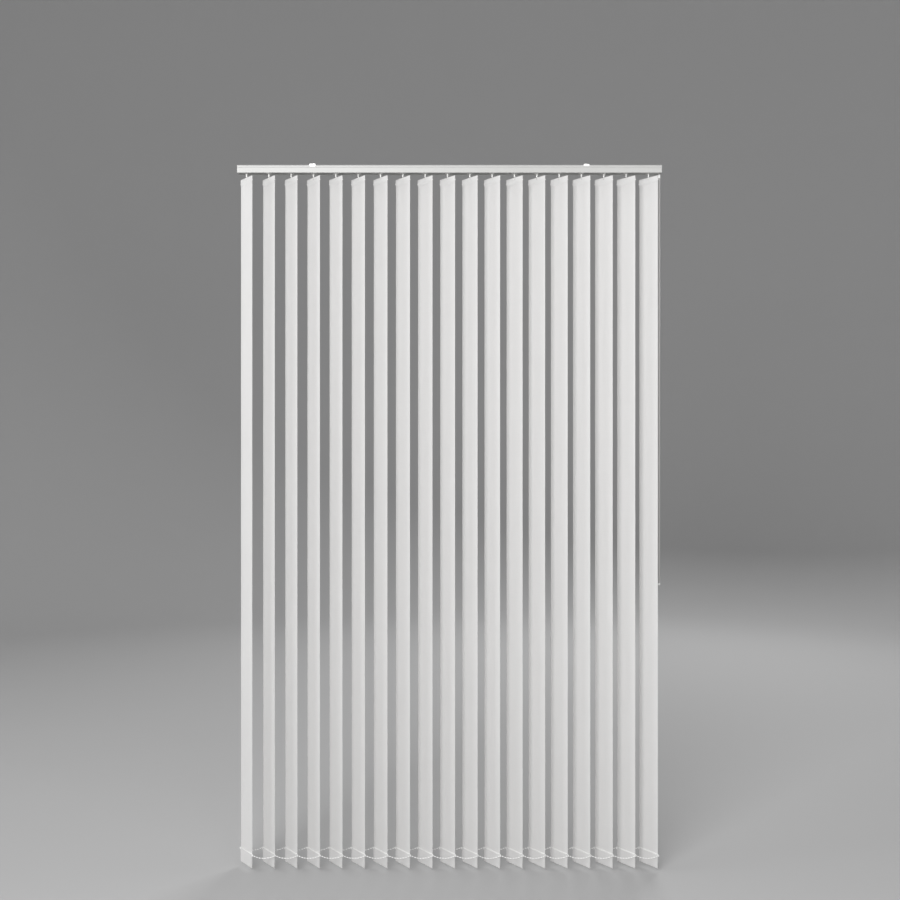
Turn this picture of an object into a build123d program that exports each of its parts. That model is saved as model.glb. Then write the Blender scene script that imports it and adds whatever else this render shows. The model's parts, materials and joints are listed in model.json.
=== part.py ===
from build123d import *
import math
import os

# A vertical blind in millimetres. X runs along the headrail, Y points away from the room towards the window and
# Z points up. The origin is midway between the two ceiling screws, on the ceiling.

# ---- Driving dimensions ---------------------------------------------------------------------------------------

VANES = 19
VANE_PITCH = 79.0
VANE_WIDTH = 89.0
VANE_TILT = 35.9  # degrees that the vanes stand turned from square to the headrail
MIDDLE_VANE_X = -7.0
VANE_TOP_Z = -43.5
VANE_LENGTH = 2430.5
CLOTH = 0.4

RAIL_LENGTH = 1491.0
RAIL_DEPTH = 42.0
RAIL_HEIGHT = 27.0
RAIL_WALL = 1.3
RAIL_SLOT = 12.0
RAIL_TOP_Z = -3.5
RAIL_CORNER = 1.2

FRONT_GROOVE_DROP = 8.4  # from the rail's top to the middle of the front groove
FRONT_GROOVE = (1.3, 0.8)  # width and depth
CLIP_GROOVE_DROP = 2.6
CLIP_GROOVE = (1.4, 0.6)

BRACKET_SPACING = 965.0
BRACKET_WIDTH = 19.5
BRACKET_THICKNESS = 1.2
BRACKET_LIP = 1.0
BRACKET_LIP_DROP = 4.4  # below the rail's top
SCREW_HOLE_R = 2.3

CAP_THICKNESS = 2.0
CAP_RIB = (8.0, 3.6, 1.2)  # height, reach into the rail and thickness
CAP_SCREW_R = 1.2
CAP_SCREW_LENGTH = 10.0
CAP_SCREW_HEAD = (2.6, 1.4)  # radius and height
PORT_R = 2.7
PORT_BORE_R = 1.3

CARRIER_LENGTH = 17.0
CARRIER_SIDE = 4.0  # from the rail's outer face to the carrier's side
CARRIER_HEIGHT = 18.0
CARRIER_FLANGE = 3.0
CARRIER_CORNER = 1.0

ROD_Z = -17.5
ROD_R = 2.5
ROD_FLUTES = 4
ROD_FLUTE_R = 0.7
ROD_JOURNAL_R = 1.9

WHEEL_TEETH = 8
WHEEL_R = 6.6
WHEEL_ROOT_R = 4.7
WHEEL_HEIGHT = 5.0
WORM_WALL = 0.7
WORM_LENGTH = 10.0

SPACER_WIDTH = 5.0
SPACER_THICKNESS = 0.4
SPACER_LANES = 5
SPACER_LANE_PITCH = 1.0
SPACER_RAIL_WALL = 1.7  # of the carrier, outside the strips' channel
SPACER_TAIL = 4.0  # behind its own carrier's middle
SPACER_NOSE = 10.0  # past the next carrier's middle

STEM_R = 3.4
STEM_TIP_R = 1.75
HOOK_THICKNESS = 0.95
HOOK_WIDTH = 3.4
HOOK_PIN_R = 1.5

HANGER_THICKNESS = 1.2
HANGER_HEIGHT = 17.0
HANGER_HOLE_R = 2.8
HANGER_HOLE_DROP = 4.5  # from the vane's top
NUB_R = 1.6
NUB_LENGTH = 3.0
NUB_DROP = 15.0
TOP_POCKET = 26.0

BOTTOM_POCKET = 47.0
WEIGHT_DROP = 3.0  # from the pocket's mouth to the plate's shoulders
WEIGHT_THICKNESS = 1.2
BAR_HEIGHT = 3.2
BAR_THICKNESS = 2.0
BAR_RISE = 3.0  # above the pocket's mouth
EYELET_R = 3.4
EYELET_WIRE_R = 1.1
EYELET_PAST_EDGE = 2.0
EYELET_SINK = 1.0  # below the pocket's mouth
EYELET_OFFSET = -0.5

CHAIN_R = 1.8
CHAIN_SAG = 9.0
CHAIN_RING_R = 2.7
CHAIN_RING_HEIGHT = 1.6

WAND_FROM_END = 5.6  # from the outer face of the end cap
WAND_R = 3.75
WAND_BOTTOM_Z = -1484.8
WAND_BALL_Z = -35.0
WAND_BALL_R = 2.8
WAND_NECK_R = 1.3
WAND_SOCKET_R = 4.0
WAND_SOCKET_LENGTH = 11.8
WAND_PIN_R = 1.8
WAND_PIN_HEAD_R = 2.4
WAND_CAP_HEIGHT = 7.0
WAND_SPIGOT = (3.0, 5.0)  # radius and length of the rod's end in the cap
SHAFT_R = 1.8
PINION_R = 3.1
PINION_TEETH = 8
GEAR_TEETH = 16
TOOTH = 0.8  # height of the teeth of both gears
GEAR_WIDTH = 6.0

RUNNING = 0.2  # between a carrier and the rail, or a shaft and its bore
LOOSE = 0.3  # between parts that only pass each other
SEAT = 0.05  # between layers that lie on each other
MESH_GAP = 0.5  # between the tips of teeth and what they turn against

# ---- Sizes that follow ----------------------------------------------------------------------------------------

RAIL_MIDDLE_Z = RAIL_TOP_Z - RAIL_HEIGHT / 2
RAIL_BOTTOM_Z = RAIL_TOP_Z - RAIL_HEIGHT
RAIL_END_X = RAIL_LENGTH / 2
CARRIER_DEPTH = RAIL_DEPTH - 2 * CARRIER_SIDE
WORM_R = ROD_R + RUNNING + WORM_WALL
ROD_Y = WHEEL_R + WORM_R + MESH_GAP
GEAR_R = ROD_Y - PINION_R - MESH_GAP
SPACER_Y = SPACER_RAIL_WALL + LOOSE + SPACER_WIDTH / 2 - CARRIER_DEPTH / 2
CARRIER_BOTTOM_Z = RAIL_BOTTOM_Z + RAIL_WALL + RUNNING
CARRIER_TOP_Z = CARRIER_BOTTOM_Z + CARRIER_HEIGHT
PORT_INSET = RAIL_WALL + PORT_R - 0.3
PORT_Y = RAIL_DEPTH / 2 - PORT_INSET
PORT_Z = RAIL_TOP_Z - PORT_INSET
WHEEL_Z = ROD_Z - WHEEL_HEIGHT / 2
POCKET_FLOOR_Z = WHEEL_Z - LOOSE
VANE_BOTTOM_Z = VANE_TOP_Z - VANE_LENGTH
CLOTH_INSIDE = HANGER_THICKNESS / 2 + SEAT
HOLE_Z = VANE_TOP_Z - HANGER_HOLE_DROP
PIN_Z = HOLE_Z + HANGER_HOLE_R - HOOK_PIN_R - SEAT
EYELET_Z = VANE_BOTTOM_Z + BOTTOM_POCKET - EYELET_SINK
EYELET_OUT = VANE_WIDTH / 2 + EYELET_PAST_EDGE
CHAIN_REACH = EYELET_OUT + EYELET_R
WAND_X = RAIL_END_X + CAP_THICKNESS - WAND_FROM_END
LEAD_END_X = RAIL_END_X - 2 * RUNNING


def vane_x(number):
    """The X of a vane's axis, counted from 1 at the left."""
    return MIDDLE_VANE_X + (number - (VANES + 1) / 2) * VANE_PITCH


def block(x0, x1, y0, y1, z0, z1):
    """A box between two corners."""
    low, high = Vector(x0, y0, z0), Vector(x1, y1, z1)
    return Pos((low + high) / 2) * Box(*(high - low))


def rod_along_x(radius, x0, x1, y, z):
    """A round bar along X."""
    return Pos((x0 + x1) / 2, y, z) * Rot(0, 90, 0) * Cylinder(radius, x1 - x0)


def pillar(radius, z0, z1, x=0.0, y=0.0):
    """An upright round bar."""
    return Pos(x, y, (z0 + z1) / 2) * Cylinder(radius, z1 - z0)


def toothed(outer_r, root_r, teeth):
    """A gear's outline, with trapezium teeth."""
    pitch = 360 / teeth
    corners = []
    for tooth in range(teeth):
        middle = tooth * pitch
        for share, radius in ((-0.3, root_r), (-0.15, outer_r), (0.15, outer_r), (0.3, root_r)):
            angle = math.radians(middle + share * pitch)
            corners.append((radius * math.cos(angle), radius * math.sin(angle)))
    return make_face(Polyline(*corners, close=True))


# ---- Headrail, brackets and end caps --------------------------------------------------------------------------


def rail_outline(outset=0.0):
    """The rail's outer outline, as seen along X."""
    outline = Rectangle(RAIL_DEPTH + 2 * outset, RAIL_HEIGHT + 2 * outset)
    return Pos(0, RAIL_MIDDLE_Z) * fillet(outline.vertices(), RAIL_CORNER + outset)


def notch(width, depth, y, z):
    """A V-shaped groove's section in a side wall; its mouth is at y."""
    inward = -math.copysign(depth, y)
    return make_face(Polyline((y - inward, z + width), (y + inward, z), (y - inward, z - width), close=True))


def along_rail(section, x0, x1):
    """A section drawn in (Y, Z), made solid from x0 to x1."""
    return extrude(Plane((x0, 0, 0), x_dir=(0, 1, 0), z_dir=(1, 0, 0)) * section, x1 - x0)


def headrail():
    inner = Rectangle(RAIL_DEPTH - 2 * RAIL_WALL, RAIL_HEIGHT - 2 * RAIL_WALL)
    section = rail_outline() - Pos(0, RAIL_MIDDLE_Z) * inner
    section -= Pos(0, RAIL_BOTTOM_Z) * Rectangle(RAIL_SLOT, 4 * RAIL_WALL)
    for side in (-1, 1):
        section += Pos(side * PORT_Y, PORT_Z) * Circle(PORT_R)
        section -= notch(*CLIP_GROOVE, side * RAIL_DEPTH / 2, RAIL_TOP_Z - CLIP_GROOVE_DROP)
    for side in (-1, 1):
        section -= Pos(side * PORT_Y, PORT_Z) * Circle(PORT_BORE_R)
    section -= notch(*FRONT_GROOVE, -RAIL_DEPTH / 2, RAIL_TOP_Z - FRONT_GROOVE_DROP)
    return along_rail(section, -RAIL_END_X, RAIL_END_X)


def bracket(x):
    """A top-fix clip: a plate on the ceiling and two lips that snap into the rail's clip grooves."""
    half = RAIL_DEPTH / 2 + SEAT
    outside = half + BRACKET_LIP
    lip_z = RAIL_TOP_Z - BRACKET_LIP_DROP
    section = Pos(0, -BRACKET_THICKNESS / 2) * Rectangle(2 * outside, BRACKET_THICKNESS)
    for side in (-1, 1):
        section += Pos(side * (half + outside) / 2, lip_z / 2) * Rectangle(BRACKET_LIP, -lip_z)
        bead = Pos(side * half, RAIL_TOP_Z - CLIP_GROOVE_DROP) * Circle(CLIP_GROOVE[1] * 0.6)
        section += bead
    clip = along_rail(section, x - BRACKET_WIDTH / 2, x + BRACKET_WIDTH / 2)
    return clip - pillar(SCREW_HOLE_R, -2 * BRACKET_THICKNESS, BRACKET_THICKNESS, x)


def cap_screw_axes():
    return [(-PORT_Y, PORT_Z), (PORT_Y, PORT_Z)]


def cap_screw(y, z, play=0.0):
    """A countersunk screw that points along +X, its head's face at X = 0."""
    head_r, head_height = CAP_SCREW_HEAD
    shank = rod_along_x(CAP_SCREW_R + play, 0, CAP_SCREW_LENGTH, y, z)
    head = Pos(head_height / 2, y, z) * Rot(0, 90, 0) * Cone(head_r + play, CAP_SCREW_R + play, head_height)
    return head + shank


def placed_at_end(shape, side):
    """Puts a shape drawn from the left cap's outer face inwards at the left (-1) or the right (1) end."""
    if side > 0:
        shape = mirror(shape, Plane.YZ)
    return Pos(side * (RAIL_END_X + CAP_THICKNESS), 0, 0) * shape


def end_cap(side):
    rib_height, rib_reach, rib_thickness = CAP_RIB
    cap = along_rail(rail_outline(), 0, CAP_THICKNESS)
    wall_y = RAIL_DEPTH / 2 - RAIL_WALL - RUNNING
    rib_thickness = min(rib_thickness, wall_y - ROD_Y - GEAR_R - LOOSE)
    rib_z = RAIL_BOTTOM_Z + RAIL_WALL + RUNNING + CARRIER_FLANGE + LOOSE
    for face in (-1, 1):
        y0, y1 = sorted((face * wall_y, face * (wall_y - rib_thickness)))
        cap += block(0, CAP_THICKNESS + rib_reach, y0, y1, rib_z, rib_z + rib_height)
    for y, z in cap_screw_axes():
        cap -= cap_screw(y, z, RUNNING / 2)
    cap -= rod_along_x(ROD_JOURNAL_R + RUNNING, -1, CAP_THICKNESS + 1, ROD_Y, ROD_Z)
    return placed_at_end(cap, side)


def end_cap_screws():
    """The four screws, each with a cross recess."""
    screws = []
    for side in (-1, 1):
        for y, z in cap_screw_axes():
            screw = cap_screw(y, z)
            for turn in (0, 90):
                cross = Pos(0, y, z) * Rot(turn, 0, 0) * Box(1.4, 2.6, 0.6)
                screw -= cross
            screws.append(placed_at_end(screw, side))
    return screws


# ---- Carriers -------------------------------------------------------------------------------------------------


def spacer_lane_z(number):
    """The strips lie in lanes above each other, so that they nest when the vanes are stacked."""
    return CARRIER_TOP_Z - LOOSE - SPACER_THICKNESS - (number % SPACER_LANES) * SPACER_LANE_PITCH


def carrier_body(x0, x1, x):
    """A carrier's moulding from x0 to x1 with its wheel's pocket at x."""
    flange_y = RAIL_DEPTH / 2 - RAIL_WALL - RUNNING
    body = block(x0, x1, -CARRIER_DEPTH / 2, CARRIER_DEPTH / 2, CARRIER_BOTTOM_Z, CARRIER_TOP_Z)
    body = chamfer(body.edges().filter_by(Axis.X).group_by(Axis.Z)[-1], CARRIER_CORNER)
    body += block(x0, x1, -flange_y, flange_y, CARRIER_BOTTOM_Z, CARRIER_BOTTOM_Z + CARRIER_FLANGE)
    body -= pillar(WHEEL_R + LOOSE, POCKET_FLOOR_Z, CARRIER_TOP_Z + 1, x)
    body -= pillar(STEM_R + RUNNING, CARRIER_BOTTOM_Z - 1, POCKET_FLOOR_Z + 1, x)
    body -= rod_along_x(ROD_R + LOOSE, x0 - 1, x1 + 1, ROD_Y, ROD_Z)
    body -= rod_along_x(WORM_R + LOOSE, x - WORM_LENGTH / 2 - LOOSE, x + WORM_LENGTH / 2 + LOOSE, ROD_Y, ROD_Z)
    channel_y = SPACER_WIDTH / 2 + LOOSE
    channel_z = spacer_lane_z(SPACER_LANES - 1) - LOOSE
    body -= block(x0 - 1, x1 + 1, SPACER_Y - channel_y, SPACER_Y + channel_y, channel_z, CARRIER_TOP_Z + 1)
    return body


def worm(x):
    """The worm's blank; the tilt rod runs through its bore."""
    blank = rod_along_x(WORM_R, x - WORM_LENGTH / 2, x + WORM_LENGTH / 2, ROD_Y, ROD_Z)
    return blank - rod_along_x(ROD_R + RUNNING, x - WORM_LENGTH, x + WORM_LENGTH, ROD_Y, ROD_Z)


def spacer(number):
    """The strip from this carrier through the next one."""
    x0 = vane_x(number) - SPACER_TAIL
    x1 = vane_x(number + 1) + SPACER_NOSE
    z = spacer_lane_z(number)
    strip = block(x0, x1, SPACER_Y - SPACER_WIDTH / 2, SPACER_Y + SPACER_WIDTH / 2, z, z + SPACER_THICKNESS)
    strip = fillet(strip.edges().filter_by(Axis.Z), SPACER_WIDTH / 4)
    return strip - pillar(SPACER_WIDTH / 5, z - 1, z + 1, x1 - SPACER_WIDTH / 2, SPACER_Y)


def carrier(number):
    x = vane_x(number)
    body = carrier_body(x - CARRIER_LENGTH / 2, x + CARRIER_LENGTH / 2, x)
    return [body, worm(x), spacer(number)]


def lead_carrier():
    """The last carrier, longer than the others: it also holds the wand's shaft and the gear on the tilt rod."""
    x = vane_x(VANES)
    body = carrier_body(x - CARRIER_LENGTH / 2, LEAD_END_X, x)
    gear_end_x = WAND_X + GEAR_WIDTH / 2 + RUNNING
    gear_start_x = WAND_X - GEAR_WIDTH / 2 - RUNNING
    gear_room = GEAR_R + LOOSE
    body -= rod_along_x(gear_room, gear_start_x, gear_end_x, ROD_Y, ROD_Z)
    body -= block(gear_start_x, gear_end_x, ROD_Y - gear_room, ROD_Y + CARRIER_CORNER, ROD_Z, CARRIER_TOP_Z + 1)
    body -= pillar(PINION_R + LOOSE, ROD_Z - GEAR_WIDTH / 2 - LOOSE, CARRIER_TOP_Z + 1, WAND_X)
    body -= pillar(SHAFT_R + RUNNING, CARRIER_BOTTOM_Z - 1, CARRIER_TOP_Z, WAND_X)
    return [body, worm(x)]


# ---- Tilt rod, gears and wand ---------------------------------------------------------------------------------


def fluted_section(radius):
    section = Circle(radius)
    for flute in range(ROD_FLUTES):
        section -= Rot(0, 0, flute * 360 / ROD_FLUTES) * Pos(radius + ROD_FLUTE_R / 2, 0) * Circle(ROD_FLUTE_R)
    return Pos(ROD_Y, ROD_Z) * section


def tilt_rod():
    """The fluted rod that turns every worm; its ends are turned down to journals."""
    shoulder = RAIL_END_X - RUNNING
    journal_end = RAIL_END_X + CAP_THICKNESS - RUNNING
    rod = along_rail(fluted_section(ROD_R), -shoulder, shoulder)
    for side in (-1, 1):
        x0, x1 = sorted((side * (shoulder - 1), side * journal_end))
        rod += rod_along_x(ROD_JOURNAL_R, x0, x1, ROD_Y, ROD_Z)
    return rod


def rod_gear():
    """The gear in the lead carrier; it slides along the tilt rod and turns with it."""
    section = Pos(ROD_Y, ROD_Z) * toothed(GEAR_R, GEAR_R - TOOTH, GEAR_TEETH)
    section -= fluted_section(ROD_R + RUNNING)
    return along_rail(section, WAND_X - GEAR_WIDTH / 2, WAND_X + GEAR_WIDTH / 2)


def wand_shaft():
    """The upright shaft with the pinion on it and the ball that the wand hangs from."""
    outline = toothed(PINION_R, PINION_R - TOOTH, PINION_TEETH)
    pinion = extrude(Pos(0, 0, ROD_Z - GEAR_WIDTH / 2) * outline, GEAR_WIDTH)
    shaft = pinion + pillar(SHAFT_R, RAIL_BOTTOM_Z, CARRIER_TOP_Z - CARRIER_CORNER)
    shaft += pillar(WAND_NECK_R, WAND_BALL_Z, RAIL_BOTTOM_Z + 1)
    shaft += Pos(0, 0, WAND_BALL_Z) * Sphere(WAND_BALL_R)
    return Pos(WAND_X, 0, 0) * shaft


WAND_CUP_Z = WAND_BALL_Z + 0.55 * WAND_BALL_R  # the cup's rim, above the ball's middle to hold it
WAND_SOCKET_END_Z = WAND_CUP_Z - WAND_SOCKET_LENGTH
WAND_HEAD_Z = WAND_BALL_Z - WAND_BALL_R - 2.4  # the top of the wand's pin head


def wand_socket():
    """A cup on the shaft's ball, slotted so that it can swing outwards, with the wand's pin turning in its foot."""
    cup = pillar(WAND_SOCKET_R, WAND_SOCKET_END_Z, WAND_CUP_Z)
    cup = fillet(cup.edges().group_by(Axis.Z)[-1], 0.4)
    cup -= Pos(0, 0, WAND_BALL_Z) * Sphere(WAND_BALL_R + RUNNING)
    neck = WAND_NECK_R + RUNNING
    cup -= block(0, WAND_SOCKET_R + 1, -neck, neck, WAND_BALL_Z - neck / 2, WAND_CUP_Z + 1)
    cup -= pillar(WAND_PIN_R + RUNNING, WAND_SOCKET_END_Z - 1, WAND_HEAD_Z)
    cup -= pillar(WAND_PIN_HEAD_R + RUNNING, WAND_HEAD_Z - 1.2 - RUNNING, WAND_HEAD_Z + RUNNING)
    return Pos(WAND_X, 0, 0) * cup


def wand_rod():
    spigot_r, spigot_length = WAND_SPIGOT
    rod_end_z = WAND_BOTTOM_Z + WAND_CAP_HEIGHT
    rod_top_z = WAND_SOCKET_END_Z - RUNNING
    rod = pillar(WAND_R, rod_end_z, rod_top_z)
    rod = chamfer(rod.edges().group_by(Axis.Z)[-1], 0.4)
    rod += pillar(WAND_PIN_R, rod_top_z - 1, WAND_HEAD_Z - 0.6)
    rod += pillar(WAND_PIN_HEAD_R, WAND_HEAD_Z - 1.2, WAND_HEAD_Z)
    rod += pillar(spigot_r, rod_end_z - spigot_length, rod_end_z + 1)
    return Pos(WAND_X, 0, 0) * rod


def wand_cap():
    """The wand's rounded end tip, pushed on the rod's spigot."""
    spigot_r, spigot_length = WAND_SPIGOT
    top_z = WAND_BOTTOM_Z + WAND_CAP_HEIGHT
    tip = pillar(WAND_SOCKET_R, WAND_BOTTOM_Z, top_z)
    tip = fillet(tip.edges().group_by(Axis.Z)[0], 2.0)
    tip = chamfer(tip.edges().group_by(Axis.Z)[-1], 0.4)
    tip -= pillar(spigot_r + SEAT, top_z - spigot_length - SEAT, top_z + 1)
    return Pos(WAND_X, 0, 0) * tip


# ---- Vanes ----------------------------------------------------------------------------------------------------
# A vane is drawn standing square to the rail, with its width along Y and its pocket flaps on the -X side, and is
# then turned about its axis. A section is drawn in (X, Z).


def across_vane(section, half_width):
    """A section drawn in (X, Z), made solid across the vane."""
    return extrude(Plane((0, half_width, 0), x_dir=(1, 0, 0), z_dir=(0, -1, 0)) * section, 2 * half_width)


def layer(x0, x1, z0, z1):
    return Pos((x0 + x1) / 2, (z0 + z1) / 2) * Rectangle(x1 - x0, z1 - z0)


def cloth():
    """One strip of fabric, folded over the hanger at the top and round the weight at the bottom."""
    inside, outside = CLOTH_INSIDE, CLOTH_INSIDE + CLOTH
    section = layer(-outside, outside, VANE_BOTTOM_Z, VANE_TOP_Z)
    section -= layer(-inside, inside, VANE_BOTTOM_Z + CLOTH, VANE_TOP_Z - CLOTH)
    section -= layer(-outside - 1, -inside, VANE_BOTTOM_Z + BOTTOM_POCKET, VANE_TOP_Z - TOP_POCKET)
    strip = across_vane(section, VANE_WIDTH / 2)
    hole = Pos(0, 0, HOLE_Z) * Rot(0, 90, 0) * Cylinder(HANGER_HOLE_R, 4 * outside)
    strip -= hole
    eyelet_reach = EYELET_R + EYELET_WIRE_R + LOOSE
    notch_z = EYELET_Z - eyelet_reach
    for side in (-1, 1):
        y0, y1 = sorted((side * (EYELET_OUT - eyelet_reach), side * VANE_WIDTH))
        strip -= block(-outside - 1, -inside, y0, y1, notch_z, EYELET_Z + eyelet_reach)
    return strip


def hanger():
    """The stiff plate in the top pocket, with its nubs past both edges of the cloth."""
    half = HANGER_THICKNESS / 2
    top = VANE_TOP_Z - CLOTH - SEAT
    reach = VANE_WIDTH / 2 + SEAT
    plate = block(-half, half, -reach, reach, top - HANGER_HEIGHT, top)
    plate = fillet(plate.edges().filter_by(Axis.X), 2.0)
    plate -= Pos(0, 0, HOLE_Z) * Rot(0, 90, 0) * Cylinder(HANGER_HOLE_R, 4)
    for side in (-1, 1):
        middle = Pos(0, side * (reach + NUB_LENGTH / 2), VANE_TOP_Z - NUB_DROP)
        plate += middle * Rot(90, 0, 0) * Cylinder(NUB_R, NUB_LENGTH)
    return plate


def weight():
    """The bottom weight: a plate in the pocket, a bar along its top and an eyelet past each edge."""
    half = WEIGHT_THICKNESS / 2
    side_reach = EYELET_OUT - EYELET_R - EYELET_WIRE_R - LOOSE
    low = VANE_BOTTOM_Z + CLOTH + SEAT
    bar_z = VANE_BOTTOM_Z + BOTTOM_POCKET + BAR_RISE
    shoulder_z = VANE_BOTTOM_Z + BOTTOM_POCKET - WEIGHT_DROP
    plate = block(-half, half, -side_reach, side_reach, low, shoulder_z)
    plate += block(-half, half, -side_reach + 4, side_reach - 4, shoulder_z - 1, bar_z)
    bar = fillet(Rectangle(BAR_THICKNESS, BAR_HEIGHT).vertices(), 0.8)
    bar_x = CLOTH_INSIDE - SEAT - BAR_THICKNESS / 2
    plate += across_vane(Pos(bar_x, bar_z) * bar, EYELET_OUT - EYELET_R)
    for side in (-1, 1):
        ring = Rot(0, 90, 0) * Torus(EYELET_R, EYELET_WIRE_R)
        plate += Pos(EYELET_OFFSET, side * EYELET_OUT, EYELET_Z) * ring
    return plate


def stem():
    """The toothed wheel, the stem below it and the hook whose pin carries the hanger."""
    slot_z = RAIL_BOTTOM_Z - 0.5
    tip_z = VANE_TOP_Z + 1.6
    cone_height = slot_z - tip_z
    wheel = extrude(Pos(0, 0, WHEEL_Z) * toothed(WHEEL_R, WHEEL_ROOT_R, WHEEL_TEETH), WHEEL_HEIGHT)
    hook = wheel + pillar(STEM_R, slot_z, WHEEL_Z + 1)
    hook += Pos(0, 0, tip_z + cone_height / 2) * Cone(STEM_TIP_R, STEM_R, cone_height)
    blade_x0 = CLOTH_INSIDE + CLOTH + RUNNING
    blade_x1 = blade_x0 + HOOK_THICKNESS
    blade_z = PIN_Z - HOOK_PIN_R - 0.6
    hook += block(blade_x0, blade_x1, -HOOK_WIDTH / 2, HOOK_WIDTH / 2, blade_z, tip_z + 1)
    hook += block(0, blade_x1, -HOOK_WIDTH / 2, HOOK_WIDTH / 2, tip_z - 0.6, tip_z + 1)
    pin_x0 = -CLOTH_INSIDE - CLOTH - RUNNING
    pin = Pos((pin_x0 + blade_x1) / 2, 0, PIN_Z) * Rot(0, 90, 0) * Cylinder(HOOK_PIN_R, blade_x1 - pin_x0)
    return hook + pin


def vane(number):
    turn = Pos(vane_x(number), 0, 0) * Rot(0, 0, VANE_TILT)
    return [turn * piece for piece in (cloth(), hanger(), weight(), stem())]


# ---- Bead chains ----------------------------------------------------------------------------------------------


def chain(side):
    """One chain, as the tube that its beads fill, with a ring on each eyelet; side is -1 in front, 1 behind."""
    angle = math.radians(VANE_TILT)
    reach = side * CHAIN_REACH
    y = reach * math.cos(angle) + EYELET_OFFSET * math.sin(angle)
    ring_hole_r = EYELET_WIRE_R + LOOSE
    link_r = (ring_hole_r + CHAIN_RING_R) / 2
    pivots = [
        vane_x(number) - reach * math.sin(angle) + EYELET_OFFSET * math.cos(angle)
        for number in range(1, VANES + 1)
    ]
    spans = []
    for x in pivots[:-1]:
        begin = Vector(x + link_r, y, EYELET_Z)
        end = Vector(x + VANE_PITCH - link_r, y, EYELET_Z)
        middle = (begin + end) / 2 - Vector(0, 0, CHAIN_SAG)
        arc = ThreePointArc(begin, middle, end)
        spans.append(sweep(Plane(arc @ 0, z_dir=arc % 0) * Circle(CHAIN_R), path=arc))
    whole = Compound(children=spans)
    for x in pivots:
        whole -= pillar(link_r, EYELET_Z - 2 * CHAIN_R, EYELET_Z + 2 * CHAIN_R, x, y)
    low, high = EYELET_Z - CHAIN_RING_HEIGHT / 2, EYELET_Z + CHAIN_RING_HEIGHT / 2
    for x in pivots:
        whole += pillar(CHAIN_RING_R, low, high, x, y) - pillar(ring_hole_r, low - 1, high + 1, x, y)
    return whole


# ---- Writing --------------------------------------------------------------------------------------------------

os.makedirs("parts", exist_ok=True)


def write(name, pieces):
    """Writes one node: a solid, or several separate solids."""
    if isinstance(pieces, list):
        pieces = Compound(children=[solid for piece in pieces for solid in piece.solids()])
    export_step(pieces, f"parts/{name}.step")


write("headrail", headrail())
write("bracket_left", bracket(-BRACKET_SPACING / 2))
write("bracket_right", bracket(BRACKET_SPACING / 2))
write("end_cap_left", end_cap(-1))
write("end_cap_right", end_cap(1))
write("end_cap_screws", end_cap_screws())
for carrier_number in range(1, VANES):
    write(f"carrier_{carrier_number:02d}", carrier(carrier_number))
write("lead_carrier", lead_carrier())
write("tilt_rod", tilt_rod())
write("rod_gear", rod_gear())
write("wand_shaft", wand_shaft())
write("wand_socket", wand_socket())
write("wand_rod", wand_rod())
write("wand_cap", wand_cap())
for vane_number in range(1, VANES + 1):
    write(f"vane_{vane_number:02d}", vane(vane_number))
write("chain_front", chain(-1))
write("chain_back", chain(1))
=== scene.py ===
"""The finished look of a vertical blind: woven vanes, hangers, bottom weights, bead chains, rail and wand.

Every length is in metres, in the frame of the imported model: X along the rail, Y towards the window, Z up.
"""

from __future__ import annotations

import json
import logging
import math
import random
from dataclasses import dataclass, field
from enum import Enum
from typing import ClassVar

import bmesh
import bpy
from mathutils import Matrix, Vector

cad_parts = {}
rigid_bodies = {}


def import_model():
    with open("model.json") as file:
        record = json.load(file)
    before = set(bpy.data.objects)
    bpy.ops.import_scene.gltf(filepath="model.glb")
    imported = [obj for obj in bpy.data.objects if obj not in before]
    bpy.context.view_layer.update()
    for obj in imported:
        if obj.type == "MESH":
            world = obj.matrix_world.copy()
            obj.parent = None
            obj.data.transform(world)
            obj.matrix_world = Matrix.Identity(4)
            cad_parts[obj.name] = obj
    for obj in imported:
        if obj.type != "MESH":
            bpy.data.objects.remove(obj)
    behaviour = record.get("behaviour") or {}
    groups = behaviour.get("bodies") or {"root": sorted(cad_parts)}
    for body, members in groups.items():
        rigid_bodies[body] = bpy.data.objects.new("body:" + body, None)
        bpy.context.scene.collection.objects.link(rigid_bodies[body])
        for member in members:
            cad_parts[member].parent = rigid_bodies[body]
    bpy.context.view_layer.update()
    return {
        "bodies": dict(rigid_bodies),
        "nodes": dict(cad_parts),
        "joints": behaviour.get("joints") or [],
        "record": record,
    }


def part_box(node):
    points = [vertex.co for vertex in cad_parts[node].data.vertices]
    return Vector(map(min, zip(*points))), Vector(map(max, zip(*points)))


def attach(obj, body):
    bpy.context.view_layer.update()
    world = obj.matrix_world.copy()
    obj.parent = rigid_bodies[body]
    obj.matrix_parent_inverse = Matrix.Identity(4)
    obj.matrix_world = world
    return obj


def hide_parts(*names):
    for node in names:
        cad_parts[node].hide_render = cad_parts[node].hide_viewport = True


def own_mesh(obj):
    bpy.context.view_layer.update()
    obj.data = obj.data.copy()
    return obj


LOG = logging.getLogger("vertical_blind")
MM = 0.001
Triple = tuple[float, float, float]
Colour = Triple
Outline = tuple[tuple[float, float], ...]
FLOOR_GAP = 13 * MM  # from the vanes' lower ends to the floor
SEED = 100
MERGE_DISTANCE = 1e-7
CREASE = 35.0  # in degrees, as the next two: edges sharper than this stay sharp
CLOTH_CREASE = 50.0
BEAD_CREASE = 60.0


class Slot(Enum):
    """The record's material slots, each named beside a kept node's finish."""

    RAIL = "rail_coat"
    CLIP = "clip_steel"
    CAP = "cap_plastic"
    CARRIER = "carrier_plastic"
    ROD = "rod_aluminium"
    WAND = "wand_grey"
    WAND_TIP = "wand_tip"
    VANE = "vane_fabric"
    BEAD = "bead_plastic"


class Side(Enum):
    """The two long edges of a vane, as signs along its width."""

    FRONT = -1
    BACK = 1


# ---- Shader maths -------------------------------------------------------------------------------------


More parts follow.
